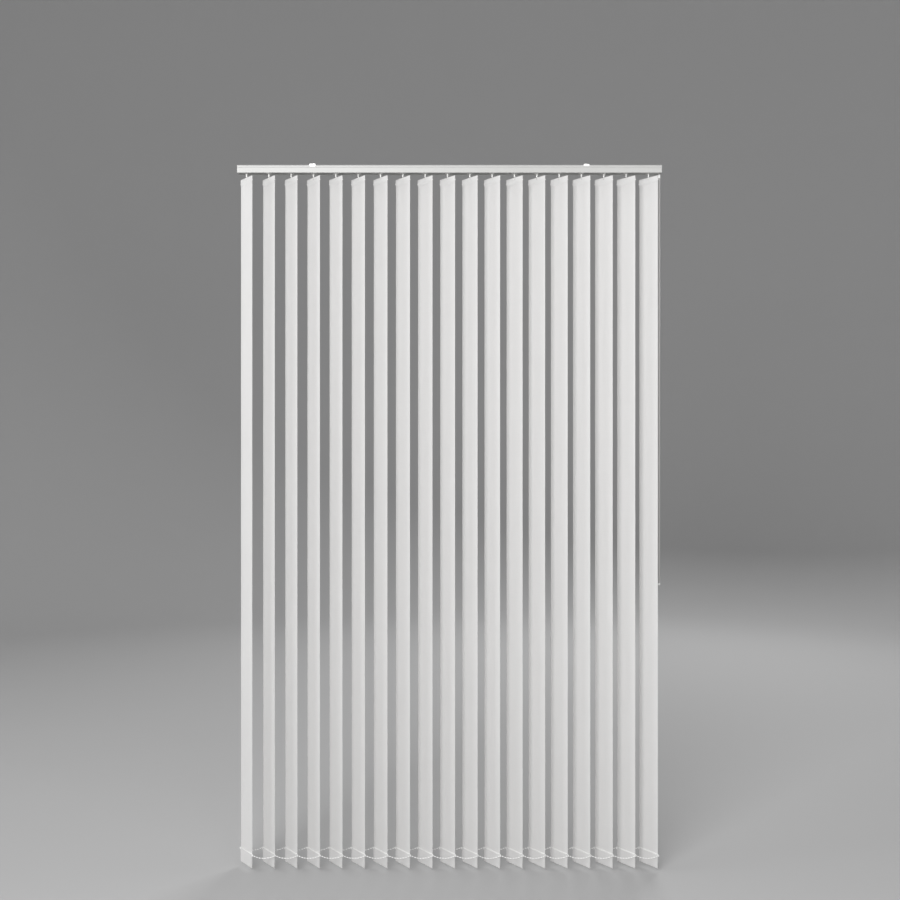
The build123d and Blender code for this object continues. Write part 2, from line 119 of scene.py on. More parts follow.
class Channel:
    """A number inside a shader that adds Math nodes when it is used in an expression."""

    def __init__(self, tree: bpy.types.NodeTree, socket: bpy.types.NodeSocket) -> None:
        """Keeps the socket and the tree that it is in."""
        self.tree = tree
        self.socket = socket

    def maths(self, operation: str, *terms: Channel | float) -> Channel:
        """Adds one Math node.

        Args:
            operation: The Math node's operation.
            terms: Its inputs, in order.

        Returns:
            The node's result.
        """
        node = self.tree.nodes.new("ShaderNodeMath")
        node.operation = operation
        for socket, term in zip(node.inputs, terms):
            if isinstance(term, Channel):
                self.tree.links.new(term.socket, socket)
            else:
                socket.default_value = term
        return Channel(self.tree, node.outputs[0])

    def __add__(self, other: Channel | float) -> Channel:
        """This plus other."""
        return self.maths("ADD", self, other)

    def __radd__(self, other: float) -> Channel:
        """A number plus this."""
        return self.maths("ADD", other, self)

    def __sub__(self, other: Channel | float) -> Channel:
        """This less other."""
        return self.maths("SUBTRACT", self, other)

    def __rsub__(self, other: float) -> Channel:
        """A number less this."""
        return self.maths("SUBTRACT", other, self)

    def __mul__(self, other: Channel | float) -> Channel:
        """This times other."""
        return self.maths("MULTIPLY", self, other)

    def __rmul__(self, other: float) -> Channel:
        """A number times this."""
        return self.maths("MULTIPLY", other, self)

    def __lt__(self, other: Channel | float) -> Channel:
        """1 where this is below other, and 0 elsewhere."""
        return self.maths("LESS_THAN", self, other)

    def sine(self) -> Channel:
        """The sine of this, in radians."""
        return self.maths("SINE", self)


class Palette:
    """The nodes of one material, built round a single Principled shader."""

    def __init__(self, name: str, base: Colour, roughness: float) -> None:
        """Makes the material with a plain base colour and roughness."""
        self.material = bpy.data.materials.new(name)
        self.material.use_nodes = True
        self.tree = self.material.node_tree
        self.shader = self.tree.nodes["Principled BSDF"]
        self.set(Roughness=roughness)
        self.shader.inputs["Base Color"].default_value = (*base, 1)

    def set(self, **sockets: float) -> None:
        """Sets plain numbers on the shader; an underscore stands for a space."""
        for name, value in sockets.items():
            self.shader.inputs[name.replace("_", " ")].default_value = value

    def node(self, kind: str, settings: dict | None = None, **sockets: object) -> bpy.types.Node:
        """Adds any node.

        Args:
            kind: The node's type, without its ShaderNode prefix.
            settings: Its settings, set before its sockets.
            sockets: Values or links by socket name, with underscores for spaces.

        Returns:
            The node.
        """
        node = self.tree.nodes.new("ShaderNode" + kind)
        for name, value in (settings or {}).items():
            setattr(node, name, value)
        for name, value in sockets.items():
            socket = node.inputs[name.replace("_", " ")]
            if isinstance(value, Channel):
                self.tree.links.new(value.socket, socket)
            elif isinstance(value, bpy.types.NodeSocket):
                self.tree.links.new(value, socket)
            else:
                socket.default_value = value
        return node

    def place(self, scale: Triple) -> bpy.types.NodeSocket:
        """The piece's own Object coordinates, stretched by scale."""
        here = self.node("TexCoord").outputs["Object"]
        return self.node("Mapping", None, Vector=here, Scale=scale).outputs["Vector"]

    def noise(self, scale: float, stretch: Triple = (1, 1, 1), detail: float = 3) -> Channel:
        """Soft noise on Object coordinates, from 0 to 1.

        Args:
            scale: Cells to the metre.
            stretch: A factor on the scale along each axis.
            detail: Octaves of the noise.

        Returns:
            The noise.
        """
        texture = self.node("TexNoise", None, Vector=self.place(stretch), Scale=scale, Detail=detail)
        return Channel(self.tree, texture.outputs[0])

    def tint(self, share: Channel, low: Colour, high: Colour) -> None:
        """Runs the base colour from low to high with share."""
        mix = self.node("Mix", {"data_type": "RGBA", "clamp_factor": True})
        colours = [socket for socket in mix.inputs if socket.type == "RGBA"]
        colours[0].default_value = (*low, 1)
        colours[1].default_value = (*high, 1)
        self.tree.links.new(share.socket, mix.inputs["Factor"])
        result = next(socket for socket in mix.outputs if socket.type == "RGBA")
        self.tree.links.new(result, self.shader.inputs["Base Color"])

    def rough(self, value: Channel) -> None:
        """Drives the roughness."""
        self.tree.links.new(value.socket, self.shader.inputs["Roughness"])

    def relief(self, height: Channel, strength: float, distance: float) -> None:
        """Bumps the surface by height, over a distance in metres."""
        bump = self.node("Bump", None, Height=height, Strength=strength, Distance=distance)
        self.tree.links.new(bump.outputs["Normal"], self.shader.inputs["Normal"])


# ---- Finishes -----------------------------------------------------------------------------------------


def shade(colour: Colour, factor: float) -> Colour:
    """A colour made darker or lighter."""
    return (colour[0] * factor, colour[1] * factor, colour[2] * factor)


@dataclass(frozen=True)
class Finish:
    """A surface finish: its name, base colour and roughness."""

    label: str
    colour: Colour
    roughness: float

    def material(self) -> bpy.types.Material:
        """The finish as a material, made once."""
        found = bpy.data.materials.get(self.label)
        if found:
            return found
        palette = Palette(self.label, self.colour, self.roughness)
        self.paint(palette)
        return palette.material

    def paint(self, palette: Palette) -> None:
        """Adds the finish's own nodes."""
        raise NotImplementedError


@dataclass(frozen=True)
class WovenVane(Finish):
    """Stiffened plain-woven polyester; its UV map is in metres, U across the vane and V along it."""

    thread: float = 0.55 * MM
    weld: float = 3.0 * MM
    weld_pitch: float = 2.2 * MM
    warp: Triple = (900.0, 9.0, 1.0)
    weft: Triple = (14.0, 1100.0, 1.0)
    cloud: Triple = (22.0, 5.0, 1.0)

    def paint(self, palette: Palette) -> None:
        """Threads over and under, uneven yarns along and across, and the pressed weld of the top pocket."""
        here = palette.node("UVMap", {"uv_map": "Cloth"}).outputs["UV"]
        spot = palette.node("SeparateXYZ", None, Vector=here)
        across = Channel(palette.tree, spot.outputs["X"])
        along = Channel(palette.tree, spot.outputs["Y"])
        turns = math.pi / self.thread
        weave = (across * turns).sine() * (along * turns).sine()
        warp = self.yarn(palette, self.warp)
        weft = self.yarn(palette, self.weft)
        cloud = self.yarn(palette, self.cloud)
        slants = ((across + along) * (math.tau / self.weld_pitch)).sine()
        weld = (along < self.weld) * (0.5 + 0.5 * slants)
        yarns = warp * 0.45 + weft * 0.55
        share = 0.5 + 0.06 * weave + (yarns - 0.5) * 0.55 + (cloud - 0.5) * 0.25 - weld * 0.12
        palette.tint(share, shade(self.colour, 0.9), shade(self.colour, 1.08))
        palette.rough(self.roughness + (yarns - 0.5) * 0.15)
        palette.relief(0.5 + 0.35 * weave + yarns * 0.7 - weld * 0.8, 0.55, 0.16 * MM)
        palette.set(Sheen_Weight=0.35, Sheen_Roughness=0.45, Specular_IOR_Level=0.25)

    def yarn(self, palette: Palette, scale: Triple) -> Channel:
        """Noise on the UV map that runs along a thread.

        Args:
            palette: The material's nodes.
            scale: Cells to the metre across the vane, along it, and through it.

        Returns:
            The noise, from 0 to 1.
        """
        here = palette.node("UVMap", {"uv_map": "Cloth"}).outputs["UV"]
        spot = palette.node("Mapping", None, Vector=here, Scale=scale).outputs["Vector"]
        texture = palette.node("TexNoise", None, Vector=spot, Scale=1.0, Detail=2.0)
        return Channel(palette.tree, texture.outputs[0])


@dataclass(frozen=True)
class PowderCoat(Finish):
    """Satin powder coat on an extrusion: a fine orange peel over faint lines along the rail."""

    def paint(self, palette: Palette) -> None:
        """Orange peel, draw lines and a slightly uneven sheen."""
        peel = palette.noise(1400.0)
        lines = palette.noise(500.0, (0.004, 1, 1))
        sheen = palette.noise(9.0)
        palette.tint(sheen * 0.6 + lines * 0.4, shade(self.colour, 0.975), shade(self.colour, 1.02))
        palette.rough(self.roughness + (sheen - 0.5) * 0.1 + (peel - 0.5) * 0.08)
        palette.relief(peel * 0.7 + lines * 0.3, 0.18, 0.05 * MM)
        palette.set(Coat_Weight=0.15, Coat_Roughness=0.25)


@dataclass(frozen=True)
class Moulded(Finish):
    """Moulded plastic with a fine spark texture and faint flow marks."""

    grain: float = 0.2

    def paint(self, palette: Palette) -> None:
        """Flow marks in the colour, spark grain in the roughness and relief."""
        flow = palette.noise(45.0, (1, 1, 0.4))
        spark = palette.noise(2600.0, detail=2)
        palette.tint(flow, shade(self.colour, 0.96), shade(self.colour, 1.03))
        palette.rough(self.roughness + (flow - 0.5) * 0.08 + (spark - 0.5) * 0.12)
        palette.relief(spark, self.grain, 0.03 * MM)
        palette.set(Specular_IOR_Level=0.5)


@dataclass(frozen=True)
class Metal(Finish):
    """Bare or plated metal with fine lines along one axis."""

    stretch: Triple = (0.01, 1, 1)

    def paint(self, palette: Palette) -> None:
        """Lines in the colour, roughness and relief."""
        brushed = palette.noise(1500.0, self.stretch)
        cloud = palette.noise(60.0)
        palette.tint(brushed * 0.6 + cloud * 0.4, shade(self.colour, 0.9), shade(self.colour, 1.05))
        palette.rough(self.roughness + (brushed - 0.5) * 0.18)
        palette.relief(brushed, 0.12, 0.03 * MM)
        palette.set(Metallic=1.0)


@dataclass(frozen=True)
class GlassFibre(Finish):
    """A pulled glass-fibre rod: fine streaks along it under a clear skin."""

    def paint(self, palette: Palette) -> None:
        """Long streaks in the colour and a faint ripple under the coat."""
        streaks = palette.noise(1800.0, (1, 1, 0.004))
        cloud = palette.noise(30.0, (1, 1, 0.2))
        palette.tint(streaks * 0.7 + cloud * 0.3, shade(self.colour, 0.85), shade(self.colour, 1.15))
        palette.rough(self.roughness + (streaks - 0.5) * 0.15)
        palette.relief(streaks, 0.15, 0.03 * MM)
        palette.set(Coat_Weight=0.4, Coat_Roughness=0.12)


@dataclass(frozen=True)
class Paper(Finish):
    """The seamless pale paper of the studio."""

    def paint(self, palette: Palette) -> None:
        """A barely uneven tone."""
        cloud = palette.noise(1.5)
        palette.tint(cloud, shade(self.colour, 0.99), shade(self.colour, 1.01))
        palette.rough(self.roughness + (cloud - 0.5) * 0.05)


CLOTH = WovenVane("woven_vane", (0.66, 0.655, 0.65), 0.82)
# The rail's coat and the end caps are white, but their colour is set to grey: painted shade, standing in for
# the shade on the rail and its caps.
SHADE_GREYED_COAT = PowderCoat("powder_coat", (0.41, 0.41, 0.40), 0.42)
SHADE_GREYED_CAP = Moulded("cap_white", (0.44, 0.44, 0.43), 0.45)
CLIP_ZINC = Metal("clip_zinc", (0.56, 0.56, 0.55), 0.38)
CARRIER_MILK = Moulded("carrier_milk", (0.72, 0.72, 0.69), 0.4)
ROD_METAL = Metal("rod_metal", (0.80, 0.80, 0.81), 0.3)
HANGER_CLEAR = Moulded("hanger_clear", (0.80, 0.80, 0.78), 0.25, 0.1)
WEIGHT_WHITE = Moulded("weight_white", (0.82, 0.82, 0.81), 0.3, 0.12)
BEAD_WHITE = Moulded("bead_white", (0.84, 0.84, 0.83), 0.22, 0.05)
WAND_FIBRE = GlassFibre("wand_fibre", (0.36, 0.355, 0.35), 0.35)
WAND_WHITE = Moulded("wand_white", (0.74, 0.74, 0.73), 0.3, 0.1)
STUDIO_PAPER = Paper("studio_paper", (0.40, 0.40, 0.402), 0.9)


# ---- Modelling helpers --------------------------------------------------------------------------------


def bar(shape: bmesh.types.BMesh, size: Triple, middle: Vector, edge: float = 0.0) -> None:
    """Adds a block with rounded edges.

    Args:
        shape: The mesh that it is added to.
        size: Its lengths along X, Y and Z.
        middle: Its centre.
        edge: The radius of its edges, or 0.
    """
    made = bmesh.ops.create_cube(shape, size=1.0)["verts"]
    bmesh.ops.scale(shape, vec=size, verts=made)
    if edge:
        edges = list({line for corner in made for line in corner.link_edges})
        made = bmesh.ops.bevel(
            shape, geom=edges, offset=edge, segments=3, profile=0.5, affect="EDGES", material=-1
        )["verts"]
    bmesh.ops.translate(shape, vec=middle, verts=made)


def in_metres(outline: Outline) -> list[tuple[float, float]]:
    """An outline given in millimetres."""
    return [(radius * MM, height * MM) for radius, height in outline]


def lathe(shape: bmesh.types.BMesh, outline: list[tuple[float, float]], turn: Matrix, steps: int) -> None:
    """Adds a turned solid.

    Args:
        shape: The mesh that it is added to.
        outline: (radius, height) pairs; the first and last lie on the axis for a closed solid.
        turn: Places the solid, which is turned about Z.
        steps: Faces round it.
    """
    corners = [bmesh.ops.create_vert(shape, co=(radius, 0, height))["vert"][0] for radius, height in outline]
    lines = [shape.edges.new(pair) for pair in zip(corners, corners[1:])]
    made = bmesh.ops.spin(
        shape, geom=corners + lines, cent=(0, 0, 0), axis=(0, 0, 1),
        angle=math.tau, steps=steps, use_merge=True,
    )
    rim = {item for item in made["geom_last"] if isinstance(item, bmesh.types.BMVert)}
    whole = connected(set(corners) | rim)
    bmesh.ops.remove_doubles(shape, verts=whole, dist=MERGE_DISTANCE)
    whole = connected({corner for corner in whole if corner.is_valid})
    bmesh.ops.transform(shape, matrix=turn, verts=whole)


def connected(seeds: set[bmesh.types.BMVert]) -> list[bmesh.types.BMVert]:
    """All corners that edges join to the seeds, with the seeds."""
    found = set(seeds)
    queue = list(seeds)
    while queue:
        for line in queue.pop().link_edges:
            for corner in line.verts:
                if corner not in found:
                    found.add(corner)
                    queue.append(corner)
    return list(found)


def hoop(
    shape: bmesh.types.BMesh, radius: float, wire: float, turn: Matrix, steps: int = 24, sides: int = 8
) -> None:
    """Adds a ring of round wire about Z, placed by turn.

    Args:
        shape: The mesh that it is added to.
        radius: From the ring's centre to the wire's.
        wire: The wire's radius.
        turn: Places the ring.
        steps: Faces along the wire.
        sides: Faces round the wire.
    """
    upright = Matrix.Translation((radius, 0, 0)) @ Matrix.Rotation(math.pi / 2, 4, "X")
    made = bmesh.ops.create_circle(shape, segments=sides, radius=wire, matrix=upright)["verts"]
    lines = list({line for corner in made for line in corner.link_edges})
    bmesh.ops.spin(
        shape, geom=made + lines, cent=(0, 0, 0), axis=(0, 0, 1), angle=math.tau, steps=steps, use_merge=True
    )
    whole = connected({corner for corner in made if corner.is_valid})
    bmesh.ops.transform(shape, matrix=turn, verts=whole)


def finished(shape: bmesh.types.BMesh, name: str, finish: Finish, crease: float = CREASE) -> bpy.types.Object:
    """Turns a mesh into an object with one finish.

    Args:
        shape: The mesh, which is freed.
        name: The object's name.
        finish: Its finish.
        crease: Edges sharper than this, in degrees, stay sharp.

    Returns:
        The object, linked to the scene.
    """
    bmesh.ops.recalc_face_normals(shape, faces=shape.faces[:])
    mesh = bpy.data.meshes.new(name)
    for face in shape.faces:
        face.smooth = True
    shape.to_mesh(mesh)
    shape.free()
    mesh.set_sharp_from_angle(angle=math.radians(crease))
    mesh.materials.append(finish.material())
    made = bpy.data.objects.new(name, mesh)
    bpy.context.scene.collection.objects.link(made)
    return made


def cut_by(piece: bpy.types.Object, tool: bpy.types.Object, crease: float = CREASE) -> None:
    """Cuts one piece with another.

    Args:
        piece: What is cut.
        tool: The shape that is taken out of it, which is thrown away.
        crease: Edges sharper than this, in degrees, stay sharp.
    """
    change = piece.modifiers.new("cut", "BOOLEAN")
    change.operation = "DIFFERENCE"
    change.solver = "EXACT"
    change.object = tool
    view = bpy.context.evaluated_depsgraph_get()
    cut = bpy.data.meshes.new_from_object(piece.evaluated_get(view))
    piece.modifiers.clear()
    old = piece.data
    piece.data = cut
    cut.set_sharp_from_angle(angle=math.radians(crease))
    bpy.data.meshes.remove(old)
    bpy.data.objects.remove(tool)


def dress(node: bpy.types.Object, finish: Finish, slot: Slot) -> None:
    """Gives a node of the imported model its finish."""
    node.data.materials.clear()
    node.data.materials.append(finish.material())


# ---- Vanes --------------------------------------------------------------------------------------------


@dataclass
class Vane:
    """One vane, drawn square to the rail with its width along Y and its flaps on the -X side.

    It is turned to its tilt when it is hung. The heights are in the frame of the whole blind.
    """

    top: float
    bottom: float
    rail_bottom: float
    width: float = 89.0 * MM
    tilt: float = math.radians(35.9)
    cloth: float = 0.4 * MM
    inside: float = 0.65 * MM
    top_pocket: float = 26.0 * MM
    bottom_pocket: float = 47.0 * MM
    hole_radius: float = 2.8 * MM
    hole_drop: float = 4.5 * MM
    nub_drop: float = 15.0 * MM
    bar_rise: float = 3.0 * MM
    eyelet_radius: float = 3.4 * MM
    eyelet_wire: float = 1.1 * MM
    eyelet_past_edge: float = 2.0 * MM
    eyelet_sink: float = 1.0 * MM
    eyelet_x: float = -0.5 * MM
    eyelet_room: float = 0.3 * MM
    fit: float = 0.05 * MM
    plate: float = 1.2 * MM
    hanger_height: float = 17.0 * MM
    nub_sunk: float = 0.6 * MM
    shoulder_drop: float = 3.0 * MM
    neck_inset: float = 4.0 * MM
    bar_x: float = -0.4 * MM
    bar_section: tuple[float, float] = (2.0 * MM, 3.2 * MM)
    web: float = 1.7 * MM
    wheel_low: float = -20.0 * MM
    wheel_high: float = -15.0 * MM
    tooth: tuple[float, float] = (2.4 * MM, 1.9 * MM)
    tooth_middle: float = 5.4 * MM
    blade: tuple[float, float] = (0.95 * MM, 3.4 * MM)
    pin_radius: float = 1.5 * MM
    masters: dict[str, bpy.types.Object] = field(default_factory=dict)

    # Faces across the vane, along its hanging face and round each fold; teeth round the stem's wheel.
    WIDTH_STEPS: ClassVar[int] = 14
    FACE_STEPS: ClassVar[int] = 44
    FOLD_STEPS: ClassVar[int] = 6
    TEETH: ClassVar[int] = 8

    # Where the cloth has cross lines, in millimetres: up the upper pocket's flap from its edge, down to the
    # lower fold on the hanging face, and up from that fold on the lower pocket's flap.
    WELD_LINES: ClassVar[tuple[float, ...]] = (0.0, 1.5, 3.0)
    FACE_LINES: ClassVar[tuple[float, ...]] = (30.0, 12.0, 3.0)
    FLAP_LINES: ClassVar[tuple[float, ...]] = (3.0, 10.0, 20.0, 30.0, 36.5, 42.0)

    # A nub's outline from inside the hanger outwards: radius and reach, in millimetres.
    NUB: ClassVar[Outline] = ((0, 0), (0.5, 0), (1.6, 0.7), (1.6, 2.8), (1.35, 3.35), (0.8, 3.65), (0, 3.7))

    @property
    def eyelet_height(self) -> float:
        """The height of the eyelets' centres."""
        return self.bottom + self.bottom_pocket - self.eyelet_sink

    def cloth_line(self) -> list[tuple[float, float]]:
        """The strip's outer line in section, as (x, height), from the upper flap's edge to the lower's."""
        gap = self.inside + self.cloth
        weld = self.top - self.top_pocket
        pressed = gap - self.cloth * 2.05
        line = [(pressed, weld + rise * MM) for rise in self.WELD_LINES]
        line += [(-gap * 0.2, weld + 5 * MM), (-gap, weld + 8 * MM), (-gap, weld + 14 * MM)]
        line += [(-gap, self.top - 6 * MM), *self.fold(gap, self.top, 1), (gap, self.top - 3 * MM)]
        flap = self.bottom + self.bottom_pocket
        high, low = self.top - 8 * MM, flap + 12 * MM
        for step in range(self.FACE_STEPS + 1):
            line.append((gap, high + (low - high) * step / self.FACE_STEPS))
        line += [(gap, self.bottom + rise * MM) for rise in self.FACE_LINES]
        line += self.fold(gap, self.bottom, -1)
        line += [(-gap, self.bottom + rise * MM) for rise in self.FLAP_LINES]
        return line + [(-gap, flap - 1 * MM), (-gap, flap)]

    def fold(self, gap: float, end: float, up: int) -> list[tuple[float, float]]:
        """A half-round fold whose furthest point is at height end.

        Args:
            gap: Half the distance between the two layers.
            end: The height of the fold's crest.
            up: 1 for the fold at the top, from -X to +X, or -1 for the one at the bottom, from +X to -X.

        Returns:
            Its points as (x, height).
        """
        points = []
        for step in range(self.FOLD_STEPS + 1):
            angle = math.pi * step / self.FOLD_STEPS
            points.append((-up * gap * math.cos(angle), end - up * gap * (1 - math.sin(angle))))
        return points

    def build_cloth(self) -> bpy.types.Object:
        """The folded strip with its hanger hole and its notched lower flap."""
        shape = bmesh.new()
        metres = shape.loops.layers.uv.new("Cloth")
        drawn = shape.verts.layers.float.new("drawn")
        line = self.cloth_line()
        corner = bmesh.ops.create_vert(shape, co=(line[0][0], -self.width / 2, line[0][1]))["vert"][0]
        length = 0.0
        for (x0, z0), (x1, z1) in zip(line, line[1:]):
            length += math.hypot(x1 - x0, z1 - z0)
            corner = bmesh.ops.extrude_vert_indiv(shape, verts=[corner])["verts"][0]
            corner.co = (x1, -self.width / 2, z1)
            corner[drawn] = length
        edge = shape.edges[:]
        for _ in range(self.WIDTH_STEPS):
            made = bmesh.ops.extrude_edge_only(shape, edges=edge)["geom"]
            corners = [item for item in made if isinstance(item, bmesh.types.BMVert)]
            edge = [item for item in made if isinstance(item, bmesh.types.BMEdge)]
            edge = [item for item in edge if all(end in corners for end in item.verts)]
            bmesh.ops.translate(shape, vec=(0, self.width / self.WIDTH_STEPS, 0), verts=corners)
        for face in shape.faces:
            for loop in face.loops:
                loop[metres].uv = (loop.vert.co.y + self.width / 2, loop.vert[drawn])
        bmesh.ops.recalc_face_normals(shape, faces=shape.faces[:])
        bmesh.ops.solidify(shape, geom=shape.faces[:], thickness=self.cloth)
        cloth = finished(shape, "vane_cloth", CLOTH, CLOTH_CREASE)
        cut_by(cloth, self.hole_cutter(), CLOTH_CREASE)
        cut_by(cloth, self.corner_cutter(), CLOTH_CREASE)
        return cloth

    def corner_cutter(self) -> bpy.types.Object:
        """What is cut off the lower flap's corners to clear the eyelets."""
        shape = bmesh.new()
        reach = self.eyelet_radius + self.eyelet_wire + self.eyelet_room
        inner = self.width / 2 + self.eyelet_past_edge - reach
        depth, length, above = 6 * MM, 20 * MM, 6 * MM
        x = -depth / 2 - 0.1 * MM
        for side in Side:
            middle = Vector((x, side.value * (inner + length / 2), self.eyelet_height + above / 2))
            bar(shape, (depth, length, 2 * reach + above), middle)
        return finished(shape, "corner_cutter", CLOTH)

    def build_hanger(self) -> bpy.types.Object:
        """The stiff plate of the top pocket, with its hole and a nub past each edge."""
        shape = bmesh.new()
        top = self.top - self.cloth - self.fit
        reach = self.width / 2 + self.fit
        middle = Vector((0, 0, top - self.hanger_height / 2))
        bar(shape, (self.plate, 2 * reach, self.hanger_height), middle, 0.3 * MM)
        plate = finished(shape, "hanger_plate", HANGER_CLEAR)
        cut_by(plate, self.hole_cutter())
        shape = bmesh.new()
        shape.from_mesh(plate.data)
        bpy.data.objects.remove(plate)
        for side in Side:
            turn = Matrix.Translation((0, side.value * (reach - self.nub_sunk), self.top - self.nub_drop))
            turn = turn @ Matrix.Rotation(-side.value * math.pi / 2, 4, "X")
            lathe(shape, in_metres(self.NUB), turn, 16)
        return finished(shape, "vane_hanger", HANGER_CLEAR)

    def hole_cutter(self) -> bpy.types.Object:
        """The round punch of the hanger's hole."""
        shape = bmesh.new()
        across = Matrix.Translation((0, 0, self.top - self.hole_drop)) @ Matrix.Rotation(math.pi / 2, 4, "Y")
        bmesh.ops.create_cone(
            shape, cap_ends=True, segments=24, radius1=self.hole_radius, radius2=self.hole_radius,
            depth=8 * MM, matrix=across,
        )
        return finished(shape, "hole_cutter", HANGER_CLEAR)

    def build_weight(self) -> bpy.types.Object:
        """The bottom weight: a plate in the pocket, a rounded bar over it and an eyelet at each end."""
        shape = bmesh.new()
        low = self.bottom + self.cloth + self.fit
        shoulder = self.bottom + self.bottom_pocket - self.shoulder_drop
        bar_height = self.bottom + self.bottom_pocket + self.bar_rise
        out = self.width / 2 + self.eyelet_past_edge
        reach = out - self.eyelet_radius - self.eyelet_wire - self.eyelet_room
        middle = Vector((0, 0, (low + shoulder) / 2))
        bar(shape, (self.plate, 2 * reach, shoulder - low), middle, 0.35 * MM)
        neck = (self.plate, 2 * (reach - self.neck_inset), bar_height - shoulder + 1 * MM)
        bar(shape, neck, Vector((0, 0, (shoulder + bar_height) / 2)), 0.2 * MM)
        thick, high = self.bar_section
        middle = Vector((self.bar_x, 0, bar_height))
        bar(shape, (thick, 2 * (out - self.eyelet_radius), high), middle, 0.8 * MM)
        for side in Side:
            middle = (self.eyelet_x, side.value * out, self.eyelet_height)
            ring = Matrix.Translation(middle) @ Matrix.Rotation(math.pi / 2, 4, "Y")
            hoop(shape, self.eyelet_radius, self.eyelet_wire, ring)
            self.gusset(shape, side, out, bar_height)
        return finished(shape, "vane_weight", WEIGHT_WHITE)

    def gusset(self, shape: bmesh.types.BMesh, side: Side, out: float, bar_height: float) -> None:
        """The web that joins the bar's end to the top of its eyelet.

        Args:
            shape: The weight's mesh.
            side: Which edge of the vane.
            out: From the vane's axis to the eyelet's centre.
            bar_height: The height of the bar's centre.
        """
        inner, outer = out - self.eyelet_radius - 1 * MM, out + 1.4 * MM
        crown = self.eyelet_height + self.eyelet_radius - 0.4 * MM
        start = Vector((self.eyelet_x, side.value * inner, bar_height + 0.2 * MM))
        end = Vector((self.eyelet_x, side.value * outer, crown))
        middle = (start + end) / 2
        web = bmesh.ops.create_cube(shape, size=1.0)["verts"]
        bmesh.ops.scale(shape, vec=(self.web, (end - start).length + 1.0 * MM, self.web), verts=web)
        lines = list({line for corner in web for line in corner.link_edges})
        web = bmesh.ops.bevel(
            shape, geom=lines, offset=0.6 * MM, segments=2, profile=0.5, affect="EDGES", material=-1
        )["verts"]
        slope = math.atan2(end.z - start.z, end.y - start.y)
        slope = slope if side is Side.BACK else slope - math.pi
        bmesh.ops.rotate(shape, cent=(0, 0, 0), matrix=Matrix.Rotation(slope, 3, "X"), verts=web)
        bmesh.ops.translate(shape, vec=middle, verts=web)

    def build_stem(self) -> bpy.types.Object:
        """The turned stem with its toothed wheel, and the hook whose pin carries the hanger."""
        shape = bmesh.new()
        tip = self.top + 1.6 * MM
        self.turn_stem(shape, tip)
        for _ in range(self.TEETH):
            middle = Vector((self.tooth_middle, 0, (self.wheel_low + self.wheel_high) / 2))
            bar(shape, (*self.tooth, self.wheel_high - self.wheel_low), middle, 0.3 * MM)
            step = Matrix.Rotation(math.tau / self.TEETH, 3, "Z")
            bmesh.ops.rotate(shape, cent=(0, 0, 0), matrix=step, verts=shape.verts[:])
        self.add_hook(shape, tip)
        return finished(shape, "vane_stem", HANGER_CLEAR)

    def turn_stem(self, shape: bmesh.types.BMesh, tip: float) -> None:
        """The turned part: the wheel's body, the shaft through the slot, and the neck down to the tip.

        Args:
            shape: The stem's mesh.
            tip: The height of the neck's lower end.
        """
        slot = self.rail_bottom - 0.5 * MM
        outline = [(0, self.wheel_high), (4.7 * MM, self.wheel_high), (4.7 * MM, self.wheel_low)]
        outline += [(3.4 * MM, self.wheel_low), (3.4 * MM, slot), (3.1 * MM, slot - 0.5 * MM)]
        outline += [(2.5 * MM, slot - 3.5 * MM), (1.9 * MM, tip + 3.0 * MM), (1.75 * MM, tip), (0, tip)]
        lathe(shape, outline, Matrix.Identity(4), 28)

    def add_hook(self, shape: bmesh.types.BMesh, tip: float) -> None:
        """The hook: a bridge off the neck, a blade behind the cloth, and the pin through the hanger.

        Args:
            shape: The stem's mesh.
            tip: The height of the neck's lower end.
        """
        thick, wide = self.blade
        back = self.inside + self.cloth + 0.2 * MM
        pin_height = self.top - self.hole_drop + self.hole_radius - self.pin_radius - self.fit
        foot = pin_height - 2.1 * MM
        head = tip + 1.5 * MM
        bar(shape, (thick, wide, head - foot), Vector((back + thick / 2, 0, (foot + head) / 2)), 0.3 * MM)
        bridge = back + thick + 1.7 * MM
        middle = Vector((back + thick - bridge / 2, 0, tip + 0.5 * MM))
        bar(shape, (bridge, wide, 2.2 * MM), middle, 0.5 * MM)
        root = 0.9 * MM
        length = 2 * back + root
        radius, blunt = self.pin_radius, 0.4 * MM
        outline = [(0, 0), (radius, 0), (radius, length - blunt), (radius - blunt, length), (0, length)]
        turn = Matrix.Translation((back + root, 0, pin_height)) @ Matrix.Rotation(-math.pi / 2, 4, "Y")
        lathe(shape, outline, turn, 16)

    def prepare(self) -> None:
        """Builds the four master pieces once."""
        self.masters = {
            "cloth": self.build_cloth(),
            "hanger": self.build_hanger(),
            "weight": self.build_weight(),
            "stem": self.build_stem(),
        }
        for master in self.masters.values():
            bpy.context.scene.collection.objects.unlink(master)

    def drape(self, mesh: bpy.types.Mesh, draw: random.Random) -> None:
        """Gives one vane's cloth its own faint curl and ripple between the two pockets.

        Args:
            mesh: The cloth, still square to the rail.
            draw: The source of this vane's numbers.
        """
        curl = draw.uniform(0.5, 1.0) * MM
        ripple = draw.uniform(-0.25, 0.25) * MM
        phase = draw.uniform(0, math.tau)
        high = self.top - self.top_pocket
        low = self.bottom + self.bottom_pocket + 6 * MM
        for corner in mesh.vertices:
            share = min(max((corner.co.z - low) / (high - low), 0.0), 1.0)
            free = math.sin(math.pi * share) ** 0.5 if 0 < share < 1 else 0.0
            across = 2 * corner.co.y / self.width
            wave = ripple * math.sin(9 * share * math.pi + phase) * across
            corner.co.x += free * (curl * (across * across - 0.35) + wave - self.inside - self.cloth / 2)

